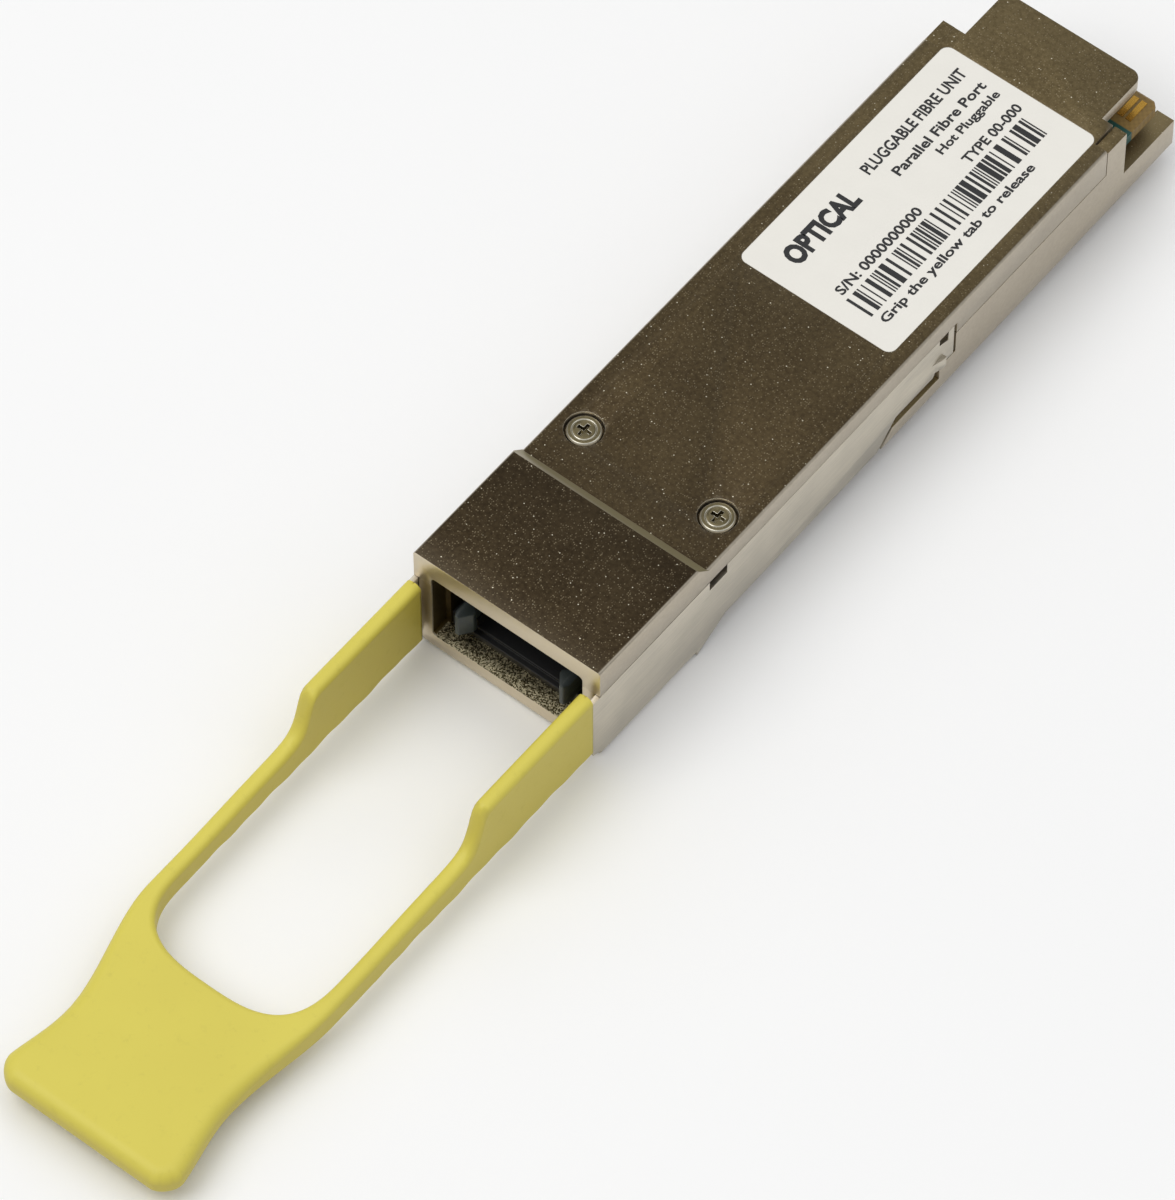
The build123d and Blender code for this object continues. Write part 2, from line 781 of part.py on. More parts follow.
with BuildPart() as fibre_block:
    block(-2.4, 2.4, board_front + 0.9, engine_front, board_top, board_top + 1.15)
    # groove plate lid, slightly narrower
    block(-1.9, 1.9, board_front + 1.3, engine_front, board_top + 1.15, board_top + 1.5)
fibre_block.part.label = "fibre_block"
export_step(fibre_block.part, "parts/fibre_block.step")

with BuildPart() as transmit_engine:
    block(-6.6, -0.35, engine_front, engine_front + 9.0, board_top, board_top + 1.3)
    block(-6.1, -0.85, engine_front + 0.5, engine_front + 8.5, board_top + 1.3, board_top + 1.7)
transmit_engine.part.label = "transmit_engine"
export_step(transmit_engine.part, "parts/transmit_engine.step")

with BuildPart() as receive_engine:
    block(0.35, 6.6, engine_front, engine_front + 7.4, board_top, board_top + 1.2)
    block(0.85, 6.1, engine_front + 0.5, engine_front + 6.9, board_top + 1.2, board_top + 1.6)
receive_engine.part.label = "receive_engine"
export_step(receive_engine.part, "parts/receive_engine.step")

with BuildPart() as laser_driver:
    block(-5.6, -1.2, 37.0, 41.4, board_top, board_top + 0.9)
    chamfer(laser_driver.edges().filter_by(Axis.Z), length=0.2)
laser_driver.part.label = "laser_driver"
export_step(laser_driver.part, "parts/laser_driver.step")

with BuildPart() as receive_amplifier:
    block(1.4, 5.4, 35.6, 39.6, board_top, board_top + 0.85)
    chamfer(receive_amplifier.edges().filter_by(Axis.Z), length=0.2)
receive_amplifier.part.label = "receive_amplifier"
export_step(receive_amplifier.part, "parts/receive_amplifier.step")

with BuildPart() as retimer:
    block(-3.2, 3.2, 43.4, 49.8, board_top, board_top + 1.1)
    chamfer(retimer.edges().filter_by(Axis.Z), length=0.25)
retimer.part.label = "retimer"
export_step(retimer.part, "parts/retimer.step")

with BuildPart() as controller:
    block(-6.2, -1.6, 52.0, 56.6, board_top, board_top + 0.8)
    chamfer(controller.edges().filter_by(Axis.Z), length=0.2)
controller.part.label = "controller"
export_step(controller.part, "parts/controller.step")

with BuildPart() as power_coils:
    for coil_y in (52.9, 56.2, 59.5):
        block(1.2, 3.8, coil_y - 1.1, coil_y + 1.1, board_top, board_top + 1.4)
power_coils.part.label = "power_coils"
export_step(power_coils.part, "parts/power_coils.step")

with BuildPart() as top_capacitors:
    with Locations((0, 64.0, board_top + 0.25)):
        with GridLocations(1.2, 1.6, 9, 2):
            Box(0.5, 1.0, 0.5)
    with Locations((5.6, 55.4, board_top + 0.4)):
        with GridLocations(1.4, 2.6, 1, 4):
            Box(0.8, 1.6, 0.8)
top_capacitors.part.label = "top_capacitors"
export_step(top_capacitors.part, "parts/top_capacitors.step")

with BuildPart() as bottom_capacitors:
    with Locations((0, 64.0, board_bottom - 0.25)):
        with GridLocations(1.2, 1.6, 7, 2):
            Box(0.5, 1.0, 0.5)
    with Locations((0, 38.0, board_bottom - 0.3)):
        with GridLocations(2.0, 2.4, 4, 3):
            Box(0.8, 1.6, 0.6)
bottom_capacitors.part.label = "bottom_capacitors"
export_step(bottom_capacitors.part, "parts/bottom_capacitors.step")

with BuildPart() as memory_chip:
    block(-2.4, 2.4, 49.4, 53.4, board_bottom - 0.9, board_bottom)
    chamfer(memory_chip.edges().filter_by(Axis.Z), length=0.2)
memory_chip.part.label = "memory_chip"
export_step(memory_chip.part, "parts/memory_chip.step")

with BuildPart() as heat_pad_engines:
    block(-5.9, -1.0, engine_front + 0.8, engine_front + 8.2, board_top + 1.7, roof_inside)
heat_pad_engines.part.label = "heat_pad_engines"
export_step(heat_pad_engines.part, "parts/heat_pad_engines.step")

with BuildPart() as heat_pad_retimer:
    block(-3.0, 3.0, 43.6, 49.6, board_top + 1.1, roof_inside)
heat_pad_retimer.part.label = "heat_pad_retimer"
export_step(heat_pad_retimer.part, "parts/heat_pad_retimer.step")

with BuildPart() as heat_pad_floor:
    block(-5.2, 5.2, 27.4, 34.8, floor_thickness, board_bottom)
heat_pad_floor.part.label = "heat_pad_floor"
export_step(heat_pad_floor.part, "parts/heat_pad_floor.step")

with BuildPart() as shield_gasket:
    # conductive strip across the roof behind the receptacle
    block(-4.5, 4.5, port_depth + 0.3, port_depth + 1.2, ferrule_z + 2.2, roof_inside)
shield_gasket.part.label = "shield_gasket"
export_step(shield_gasket.part, "parts/shield_gasket.step")
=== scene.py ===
# %% [markdown]
# # A pluggable optical transceiver
# The module is a small cast-metal case with a fibre port at the front, a gold
# card edge at the rear, and a sheet-steel slider with a soft yellow pull tab.
# The CAD model comes in as a fixed frame, with every solid at its real place.
# Everything added here is in metres in that same frame.

# %% Load the frame
import json
import math

import bmesh
import bpy
import numpy as np
from mathutils import Matrix, Vector


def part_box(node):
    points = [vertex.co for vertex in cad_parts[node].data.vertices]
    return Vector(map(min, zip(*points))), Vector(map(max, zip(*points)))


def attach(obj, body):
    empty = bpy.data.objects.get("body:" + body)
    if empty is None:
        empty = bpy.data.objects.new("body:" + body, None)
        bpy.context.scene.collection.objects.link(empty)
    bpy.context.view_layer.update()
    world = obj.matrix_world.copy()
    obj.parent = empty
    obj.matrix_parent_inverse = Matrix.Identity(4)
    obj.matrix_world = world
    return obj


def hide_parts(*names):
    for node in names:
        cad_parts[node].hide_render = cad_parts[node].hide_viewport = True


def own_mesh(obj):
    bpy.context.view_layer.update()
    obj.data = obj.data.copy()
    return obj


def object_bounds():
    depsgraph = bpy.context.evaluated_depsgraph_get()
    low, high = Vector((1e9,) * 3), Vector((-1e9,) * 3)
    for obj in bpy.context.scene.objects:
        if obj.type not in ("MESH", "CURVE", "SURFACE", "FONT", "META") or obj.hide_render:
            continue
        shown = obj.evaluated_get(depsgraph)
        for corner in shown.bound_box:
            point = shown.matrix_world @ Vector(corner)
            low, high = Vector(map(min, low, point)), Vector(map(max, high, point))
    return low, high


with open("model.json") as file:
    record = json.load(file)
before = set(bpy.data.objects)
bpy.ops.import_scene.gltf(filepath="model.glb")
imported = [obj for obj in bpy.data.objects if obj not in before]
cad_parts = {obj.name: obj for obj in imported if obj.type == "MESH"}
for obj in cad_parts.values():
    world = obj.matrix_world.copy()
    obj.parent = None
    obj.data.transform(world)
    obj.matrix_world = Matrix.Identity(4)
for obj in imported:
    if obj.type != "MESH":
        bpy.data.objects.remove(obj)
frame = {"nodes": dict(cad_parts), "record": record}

MM = 0.001
cad_low, cad_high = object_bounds()
print("CAD box in mm:", [round(v / MM, 2) for v in (*cad_low, *cad_high)])

# %% [markdown]
# ## Shader sums as plain Python
# A finish is mostly arithmetic on patterns: "brown, but lighter where a grain
# shows".  Wiring Math nodes by hand hides that.  The small class below wraps a
# socket, so that `1 - grain * 0.3` adds the nodes by itself.

# %% The socket wrapper
class Wire:
    """One output of a node; arithmetic on it adds Math nodes."""

    def __init__(self, tree, socket):
        self.tree, self.socket = tree, socket

    def sum(self, operation, *values):
        """One Math node on the given values."""
        sockets = dict(enumerate(values))
        return node(self.tree, "ShaderNodeMath", {"operation": operation}, sockets)

    def __add__(self, other):
        return self.sum("ADD", self, other)

    def __sub__(self, other):
        return self.sum("SUBTRACT", self, other)

    def __rsub__(self, other):
        return self.sum("SUBTRACT", other, self)

    def __mul__(self, other):
        return self.sum("MULTIPLY", self, other)

    __radd__ = __add__
    __rmul__ = __mul__

    def above(self, level, softness):
        """0 below level, 1 above it, rising over the given softness."""
        ramp = {"interpolation_type": "SMOOTHSTEP"}
        limits = {"Value": self, "From Min": level - softness, "From Max": level + softness}
        return node(self.tree, "ShaderNodeMapRange", ramp, limits)


def node(tree, kind, settings, sockets, output=0):
    """Add one node: settings first, then values or links on its sockets."""
    made = tree.nodes.new(kind)
    for name, value in settings.items():
        setattr(made, name, value)
    for name, value in sockets.items():
        target = made.inputs[name]
        if isinstance(value, Wire):
            tree.links.new(value.socket, target)
        else:
            target.default_value = value
    return Wire(tree, made.outputs[output])


def linear(red, green, blue):
    """A screen colour of 0 to 255 steps as the light values a shader wants."""
    steps = np.array([red, green, blue]) / 255
    light = np.where(steps <= 0.04045, steps / 12.92, ((steps + 0.055) / 1.055) ** 2.4)
    return (*[float(v) for v in light], 1.0)


print("mid grey as light:", round(linear(128, 128, 128)[0], 3))

# %% [markdown]
# ## One material, many finishes
# Each finish starts from the same sheet: Object coordinates turned into
# millimetres, so that a grain size is a real size, and one Principled shader.

# %% The finish sheet
class Finish:
    """A material with millimetre coordinates and a Principled shader."""

    def __init__(self, name, **constants):
        self.material = bpy.data.materials.new(name)
        self.material.use_nodes = True
        self.tree = self.material.node_tree
        self.shader = self.tree.nodes["Principled BSDF"]
        for socket, value in constants.items():
            self.shader.inputs[socket.replace("_", " ")].default_value = value
        place = node(self.tree, "ShaderNodeTexCoord", {}, {}, "Object")
        self.place = node(
            self.tree, "ShaderNodeVectorMath", {"operation": "SCALE"}, {0: place, "Scale": 1 / MM}
        )

    def noise(self, per_mm, detail=3.0, roughness=0.5, stretch=None):
        """Cloudy values near 0.5; stretch draws the pattern out along the axes."""
        place = self.place
        if stretch:
            place = node(
                self.tree,
                "ShaderNodeVectorMath",
                {"operation": "MULTIPLY"},
                {0: place, 1: stretch},
            )
        sockets = {"Vector": place, "Scale": per_mm, "Detail": detail, "Roughness": roughness}
        return node(self.tree, "ShaderNodeTexNoise", {}, sockets)

    def cells(self, per_mm, output="Distance"):
        """Random cells: distance to the cell's point, or a random colour per cell."""
        return node(
            self.tree, "ShaderNodeTexVoronoi", {}, {"Vector": self.place, "Scale": per_mm}, output
        )

    def part(self, vector, axis):
        """One axis of a vector or of a colour."""
        return node(self.tree, "ShaderNodeSeparateXYZ", {}, {0: vector}, axis)

    def facing(self):
        """The surface direction, as three values."""
        return node(self.tree, "ShaderNodeNewGeometry", {}, {}, "Normal")

    def mix(self, amount, first, second):
        """A colour between two colours."""
        settings = {"data_type": "RGBA"}
        return node(self.tree, "ShaderNodeMix", settings, {0: amount, 6: first, 7: second}, 2)

    def bump(self, height, depth_mm, strength=1.0):
        """A height pattern as small dents of the given depth."""
        sockets = {"Height": height, "Distance": depth_mm * MM, "Strength": strength}
        return node(self.tree, "ShaderNodeBump", {}, sockets)

    def wear(self, **values):
        """Link patterns to the sockets that may change over a surface."""
        for socket, value in values.items():
            self.tree.links.new(value.socket, self.shader.inputs[socket.replace("_", " ")])
        return self.material


# %% [markdown]
# ## Plated casting
# The case halves are cast zinc under a thin warm nickel plating.  The flat top
# keeps the skin of the mould, with fine bright grains, and is painted a dark
# brown tone as a painted reflection, deepest at the nose and lighter towards
# the rear.  The sides are drawn smooth by the mould and keep the pale warm
# silver of the plating.  The surface direction picks the painted tone, so the
# ramp behind the nose, which leans, gets a painted shade in between.  The low
# floor of the port is pale again, and coarse like sand.  Forward faces get a
# painted highlight, the walls within the port painted shade, and the rims round
# the screws a painted highlight.

# %% The casting
SCREW_ACROSS = 6.6          # mm, where the two cover screws sit
SCREW_ALONG = 17.85
SCREW_HIGHLIGHT_REACH_SQUARED = 3.6     # how far from a screw its painted highlight reaches
PORT_FLOOR_TOP = 1.2        # level faces below this are the floor of the port
RAMP_LEAN = 0.6             # the ramp faces rearwards at least this much
SHADED_DEPTH = 14           # the walls of the port get painted shade this far in
SHADED_WIDTH_SQUARED = 58
SHADED_TOP = 7.9
SHADED_BOTTOM = -0.3
GRAINS_PER_MM = 5.5
FLECKS_PER_MM = 4.2
SAND_PER_MM = 9.0


def plated_casting(name):
    """Nickel over zinc: a grainy skin on top painted dark as a painted reflection, drawn pale
    metal elsewhere.
    """
    finish = Finish(name, Metallic=1.0)
    facing = finish.facing()
    upright = finish.part(facing, "Z")
    forward = 0 - finish.part(facing, "Y")
    across, along, up = (finish.part(finish.place, axis) for axis in "XYZ")
    level = upright.above(0.90, 0.09)
    leaning = upright.above(0.5, 0.1) * (1 - level)
    ramp = leaning * finish.part(facing, "Y").above(RAMP_LEAN, 0.08)
    from_screw = across.sum("ABSOLUTE", across) - SCREW_ACROSS
    beyond_screw = along - SCREW_ALONG
    from_screw = from_screw * from_screw + beyond_screw * beyond_screw
    screw_rim_highlight = leaning * (1 - from_screw.above(SCREW_HIGHLIGHT_REACH_SQUARED, 0.2))
    high = up.above(PORT_FLOOR_TOP, 0.2)
    top = level * high
    sand = level * (1 - high)
    clouds = finish.noise(0.16, 4.0)
    mottle = finish.noise(2.6, 5.0, 0.7)
    tone = (clouds * 0.35 + mottle * 0.75).above(0.56, 0.24)
    # Painted reflection: the level top is painted dark brown, deepest at the nose, lighter
    # towards the rear and lighter again on level faces below 6 mm.
    nose = finish.mix(tone, linear(50, 41, 29), linear(74, 63, 46))
    middle = finish.mix(tone, linear(64, 53, 38), linear(94, 81, 58))
    rear = finish.mix(tone, linear(92, 80, 56), linear(124, 110, 80))
    dark = finish.mix(along.above(13, 1.5), nose, middle)
    dark = finish.mix(along.above(50, 30), dark, rear)
    dark = finish.mix(1 - up.above(6.0, 0.5), dark, linear(132, 118, 86))
    pale = finish.mix(tone, linear(180, 170, 153), linear(194, 185, 169))
    # Painted light by facing: faces turned forwards get a painted highlight, and the leaning ramp
    # is painted a darker shade.
    pale = finish.mix(forward.above(0.8, 0.15), pale, linear(216, 204, 182))
    pale = finish.mix(ramp, pale, linear(136, 126, 94))
    # Painted shade on the walls within the port, from the mouth to SHADED_DEPTH.
    port_wall_shade = along.above(0.14, 0.04) * (1 - along.above(SHADED_DEPTH, 0.2))
    port_wall_shade = port_wall_shade * (1 - (across * across).above(SHADED_WIDTH_SQUARED, 0.8))
    port_wall_shade = port_wall_shade * (1 - up.above(SHADED_TOP, 0.1))
    pale = finish.mix(port_wall_shade * up.above(SHADED_BOTTOM, 0.05), pale, linear(96, 82, 52))
    # Level top faces take the painted dark reflection, all other faces the pale tone.
    colour = finish.mix(top, pale, dark)
    grain_pick = finish.part(finish.cells(GRAINS_PER_MM, "Color"), "X")
    grain_size = 1 - finish.cells(GRAINS_PER_MM).above(0.29, 0.14)
    grain = grain_pick.above(0.64, 0.26) * grain_size * top
    fleck_pick = finish.part(finish.cells(FLECKS_PER_MM, "Color"), "Y")
    fleck_size = 1 - finish.cells(FLECKS_PER_MM).above(0.2, 0.09)
    fleck = fleck_pick.above(0.962, 0.012) * fleck_size * top
    colour = finish.mix(grain * 0.40, colour, linear(176, 162, 132))
    colour = finish.mix(fleck * 0.85, colour, linear(240, 232, 208))
    sand_grain = finish.part(finish.cells(SAND_PER_MM, "Color"), "Z")
    sand_tone = finish.mix(sand_grain.above(0.6, 0.4), linear(72, 65, 46), linear(206, 196, 164))
    colour = finish.mix(sand, colour, sand_tone)
    # Painted highlight: a bright ring on the leaning rim round each screw.
    colour = finish.mix(screw_rim_highlight, colour, linear(236, 230, 212))
    rough = 0.34 + mottle * 0.16 + top * 0.08 - fleck * 0.2
    relief = finish.noise(5.0, 4.0, 0.6) * (0.35 + top * 0.65)
    relief = relief + grain * 0.5 + sand_grain * sand * 2.2
    return finish.wear(
        Base_Color=colour,
        Metallic=1 - ramp * 0.7,
        Roughness=rough,
        Normal=finish.bump(relief, 0.03, 0.7),
    )


# %% [markdown]
# ## Rolled sheet, wire and turned parts
# The slider is stamped from bright sheet.  Rolling leaves very faint streaks
# along its length, and handling leaves soft smudges that change only the gloss.

# %% Bright steels
def rolled_steel(name, colour, streak=(9.0, 0.35, 9.0), gloss=0.27, edge_highlight=0.0):
    """Bright metal with faint streaks; the last argument paints a highlight on leaning edges."""
    finish = Finish(name, Metallic=1.0)
    streaks = finish.noise(1.0, 3.0, 0.55, stretch=streak)
    smudge = finish.noise(0.22, 3.0)
    shade = (streaks * 0.6 + smudge * 0.5).above(0.55, 0.3)
    light = tuple(min(1.0, v * 1.14) for v in colour[:3]) + (1.0,)
    dark = tuple(v * 0.86 for v in colour[:3]) + (1.0,)
    # Painted highlight: leaning edges are painted near white, as strong as the last argument.
    upright = finish.part(finish.facing(), "Z")
    rim = upright.above(0.3, 0.1) * (1 - upright.above(0.93, 0.04))
    tone = finish.mix(shade, dark, light)
    return finish.wear(
        Base_Color=finish.mix(rim * edge_highlight, tone, linear(240, 236, 222)),
        Roughness=gloss + smudge * 0.14 + streaks * 0.06,
        Normal=finish.bump(streaks, 0.006, 0.5),
    )


# %% [markdown]
# ## Soft yellow moulding
# The pull tab is a thermoplastic rubber.  It scatters light evenly and has a
# satin skin with a very fine spark texture.  The upright faces are painted
# darker than the upper faces as painted shade, and a little grime lies at random.

# %% The soft moulding
def soft_moulding(name, colour, shaded_side_colour):
    """Satin rubber: its colour on upper faces, painted shade on upright ones."""
    finish = Finish(name, Roughness=0.5)
    upright = finish.part(finish.facing(), "Z")
    cloud = finish.noise(0.09, 3.0)
    grime = finish.noise(0.9, 5.0, 0.7).above(0.66, 0.12)
    # Painted shade: upright faces take the darker side colour.
    body = finish.mix(upright.above(0.45, 0.45), shaded_side_colour, colour)
    body = finish.mix(cloud.above(0.5, 0.3) * 0.25, body, shaded_side_colour)
    body = finish.mix(grime * 0.14, body, linear(150, 140, 70))
    skin = finish.noise(9.0, 3.0, 0.6)
    return finish.wear(
        Base_Color=body,
        Roughness=0.44 + skin * 0.12 + grime * 0.1,
        Normal=finish.bump(skin, 0.012, 0.5),
    )


# %% [markdown]
# ## Plastics, paper and board
# The smaller parts share one recipe: a base tone that drifts a little, a fine
# texture, and a gloss that varies with it.

# %% The shared plastic recipe
def moulded(name, colour, drift=0.12, grain_per_mm=7.0, depth=0.01, gloss=0.45, metal=0.0):
    """A base tone that drifts a little, with a fine texture of given depth."""
    finish = Finish(name, Metallic=metal)
    cloud = finish.noise(0.5, 4.0)
    grain = finish.noise(grain_per_mm, 3.0, 0.6)
    light = tuple(min(1.0, v * (1 + drift)) for v in colour[:3]) + (1.0,)
    dark = tuple(v * (1 - drift) for v in colour[:3]) + (1.0,)
    return finish.wear(
        Base_Color=finish.mix((cloud * 0.7 + grain * 0.3).above(0.5, 0.25), dark, light),
        Roughness=gloss + grain * 0.12,
        Normal=finish.bump(grain, depth, 0.6),
    )


# %% [markdown]
# ## The circuit board
# Green mask covers the board up to the card edge.  The last few millimetres
# are bare glass laminate, golden tan, with a fine weave of fibres.

# %% Board laminate
THREADS = 11                # turns of the weave's sine, in radians per mm


def board_laminate(name, mask_end_mm):
    """Green mask up to mask_end_mm along the board, woven laminate beyond it."""
    finish = Finish(name)
    along = finish.part(finish.place, "Y")
    across = finish.part(finish.place, "X")
    bare = along.above(mask_end_mm, 0.06)
    across_thread, along_thread = across * THREADS, along * THREADS
    weave = across_thread.sum("SINE", across_thread) * along_thread.sum("SINE", along_thread)
    weave = (weave * 0.5 + 0.5) * 0.6 + finish.noise(3.0) * 0.4
    tan = finish.mix(weave, linear(116, 90, 38), linear(140, 112, 52))
    cloud = finish.noise(0.8, 4.0)
    green = finish.mix(cloud, linear(10, 62, 58), linear(18, 84, 76))
    return finish.wear(
        Base_Color=finish.mix(bare, green, tan),
        Roughness=0.3 + bare * 0.2 + cloud * 0.08,
        Normal=finish.bump(weave * bare + cloud * 0.2, 0.008, 0.5),
    )


# %% Make the finishes
silver = linear(198, 191, 176)
finishes = {
    "casting": plated_casting("plated_casting"),
    "sheet_steel": rolled_steel("rolled_sheet", silver),
    # Screw heads carry a painted highlight on their leaning rims.
    "screw_steel": rolled_steel("screw_steel", linear(108, 99, 74), (3.0, 3.0, 3.0), 0.2, 0.7),
    "spring_steel": rolled_steel("spring_wire", linear(190, 190, 188), (6.0, 6.0, 6.0), 0.2),
    "pin_steel": rolled_steel("ground_pin", linear(214, 214, 214), (8.0, 0.5, 8.0), 0.14),
    # The second yellow is painted shade for the upright faces of the tab.
    "soft_yellow": soft_moulding("soft_yellow", linear(221, 208, 86), linear(200, 184, 74)),
    "label_film": moulded("label_film", linear(236, 233, 225), 0.015, 4.0, 0.004, 0.36),
    "port_plastic": moulded("port_plastic", linear(20, 20, 22), 0.2, 5.0, 0.02, 0.42),
    "latch_plastic": moulded("latch_plastic", linear(54, 61, 60), 0.15, 5.0, 0.02, 0.38),
    "ferrule_resin": moulded("ferrule_resin", linear(58, 60, 64), 0.15, 9.0, 0.006, 0.3),
    "ribbon_plastic": moulded("ribbon_plastic", linear(196, 176, 66), 0.1, 2.0, 0.005, 0.2),
    "board_laminate": board_laminate("board_laminate", 69.6),
    "gold_plating": moulded("gold_plating", linear(178, 138, 62), 0.08, 6.0, 0.004, 0.2, 1.0),
    "groove_glass": moulded("groove_glass", linear(190, 204, 204), 0.05, 2.0, 0.003, 0.12),
    "engine_metal": moulded("engine_metal", linear(206, 180, 120), 0.08, 4.0, 0.01, 0.3, 1.0),
    "chip_resin": moulded("chip_resin", linear(38, 38, 42), 0.15, 8.0, 0.01, 0.42),
    "coil_ferrite": moulded("coil_ferrite", linear(84, 84, 88), 0.15, 5.0, 0.02, 0.5),
    "capacitor_ceramic": moulded("capacitor_ceramic", linear(168, 140, 104), 0.1, 6.0, 0.01, 0.4),
    "heat_pad": moulded("heat_pad", linear(150, 164, 178), 0.1, 2.5, 0.03, 0.6),
    "gasket_rubber": moulded("gasket_rubber", linear(112, 112, 116), 0.2, 5.0, 0.02, 0.55),
}
slot_of = {row["node"]: row["material_slot"] for row in frame["record"]["subparts"]}
print(len(finishes), "finishes for", len(slot_of), "nodes")

# %% [markdown]
# ## Dress the CAD nodes
# A CAD node whose shape is right stays as it is and only gets its finish.

# %% Finish every CAD node
def dress(shape, slot_name):
    """Put one finish on every face of an object."""
    shape.data.materials.clear()
    shape.data.materials.append(finishes[slot_name])


for name, slot_name in slot_of.items():
    dress(frame["nodes"][name], slot_name)

# %% [markdown]
# ## Soft edges on the metal
# Real castings and stampings have small rounded edges that catch the light.
# The CAD solids have knife edges.  For the visible metal a copy is taken,
# its triangles are merged back into flat faces, and a Bevel modifier rounds
# what is left.  The copy then stands for the CAD node.

# %% Rounded copies
def rounded_copy(node_name, width_mm, body, segments=2):
    """A merged copy of a CAD node with its edges bevelled."""
    source = frame["nodes"][node_name]
    mesh = source.data.copy()
    work = bmesh.new()
    work.from_mesh(mesh)
    bmesh.ops.remove_doubles(work, verts=work.verts, dist=0.0005 * MM)
    bmesh.ops.dissolve_limit(
        work, angle_limit=math.radians(0.4), verts=work.verts, edges=work.edges
    )
    for face in work.faces:
        face.smooth = True
    work.to_mesh(mesh)
    work.free()
    piece = bpy.data.objects.new(node_name + "_rounded", mesh)
    bpy.context.scene.collection.objects.link(piece)
    bevel = piece.modifiers.new("edge", "BEVEL")
    bevel.width = width_mm * MM
    bevel.segments = segments
    bevel.limit_method = "ANGLE"
    bevel.angle_limit = math.radians(28)
    bevel.harden_normals = True
    bevel.use_clamp_overlap = True
    dress(piece, slot_of[node_name])
    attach(piece, body)
    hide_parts(node_name)
    print(piece.name, len(mesh.polygons), "faces before the bevel")
    return piece


rounded_copy("upper_shell", 0.10, "module")
rounded_copy("lower_shell", 0.07, "module")
rounded_copy("release_slider", 0.05, "release")
rounded_copy("cover_screws", 0.05, "module")
rounded_copy("fibre_receptacle", 0.06, "module")
rounded_copy("port_latch_left", 0.08, "latch_left")
rounded_copy("port_latch_right", 0.08, "latch_right")

# %% [markdown]
# ## The return springs
# Pulling the tab squeezes the two coils against their front seats.  Each coil
# is a copy of the CAD coil with its own mesh, hung on the module in place of
# the CAD coil.


def squeezed_spring(node_name):
    """A copy of a CAD coil with its own mesh."""
    piece = bpy.data.objects.new(node_name + "_coil", frame["nodes"][node_name].data.copy())
    bpy.context.scene.collection.objects.link(piece)
    dress(piece, slot_of[node_name])
    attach(piece, "module")
    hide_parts(node_name)
    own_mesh(piece)


squeezed_spring("return_spring_left")
squeezed_spring("return_spring_right")

# %% [markdown]
# ## The pull tab
# The tab is one soft moulding shaped like a long U: a tall plate on each side
# of the port, a slender arm behind each plate, and a waisted pad where the
# arms meet.  Seen from above it is a band between two smooth outlines, the
# outer edge and the finger window.  So the two outlines are worked out first,
# the band between them gets a top and a bottom, and a Bevel modifier rounds
# the long edges to one even radius, as the mould does.

# %% Outlines of the tab
tab_low, tab_high = (np.array(c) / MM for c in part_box("pull_tab"))
outer_x = tab_high[0]
thickness = 1.42
plate_front = tab_high[1]
pad_end = tab_low[1]
bottom = tab_low[2]
plate_top = tab_high[2]
arm_top = bottom + 3.1
level_start = -29.0         # the top is level from here to the end of the pad
arm_start = -32.0           # the outer edges are straight down to here
window_arc = -29.4
window_end = -36.2
dip_start = -13.2           # the top edge starts to fall at the end of the plate
dip_length = 1.35
sink_start = -19.0          # then it sinks a little more towards the pad
pad_sink = 0.35
ripple_fine = 1.9           # the two waves of the ripple, in radians per mm
ripple_coarse = 0.83
ripple_height = 0.14        # the lower edges of the plates are slightly wavy
bend_start = -32.0          # the soft pad leans a little to one side
bend_length = 16.0
bend = 0.8
past_plate = (dip_start - level_start) / dip_length
level_top = arm_top + (plate_top - arm_top) / (1 + past_plate**3)
level_top -= pad_sink


def glide(points, tangents, count=60):
    """Smooth curve through points with given directions.

    Between two points it is the Hermite cubic: each end's place and tangent
    weighted by the four cubic blends, the tangent scaled by the distance.
    """
    points, tangents = np.array(points, float), np.array(tangents, float)
    tangents /= np.linalg.norm(tangents, axis=1)[:, None]
    t = np.linspace(0, 1, count, endpoint=False)[:, None]
    runs = []
    for p, q, u, v in zip(points[:-1], points[1:], tangents[:-1], tangents[1:]):
        far = np.linalg.norm(q - p)
        runs.append(
            (2 * t**3 - 3 * t**2 + 1) * p
            + (t**3 - 2 * t**2 + t) * far * u
            + (3 * t**2 - 2 * t**3) * q
            + (t**3 - t**2) * far * v
        )
    return np.concatenate([*runs, points[-1:]])


def even(path, count):
    """The same path with points spaced evenly along its length."""
    far = np.concatenate([[0], np.cumsum(np.linalg.norm(np.diff(path, axis=0), axis=1))])
    at = np.linspace(0, far[-1], count)
    return np.stack([np.interp(at, far, path[:, 0]), np.interp(at, far, path[:, 1])], 1)


def window_corner(count=200):
    """A quarter of a squashed circle: cosine and sine raised to 2 over 3."""
    turn = np.linspace(0, math.pi / 2, count)
    x = (outer_x - thickness) * np.cos(turn) ** (2 / 3)
    y = window_arc + (window_end - window_arc) * np.sin(turn) ** (2 / 3)
    return np.stack([x, y], 1)


waist_path = glide(
    [(outer_x, arm_start), (7.6, -43.9), (8.55, -49.9), (6.7, pad_end), (0.0, pad_end)],
    [(0, -1), (0, -1), (0.16, -1), (-1, 0), (-1, 0)],
)
print("waist path:", len(waist_path), "points")

# %% [markdown]
# The top edge falls from the plate to the arm in one soft dip: the height is
# one over one plus the cube of the distance past the plate.  Along the
# straight arms the band is cut into short ribs so that it can follow that dip.
# From the end of the arms the top is level, so there the top and the bottom
# are one flat face each, and the rounding runs round them without a crease.

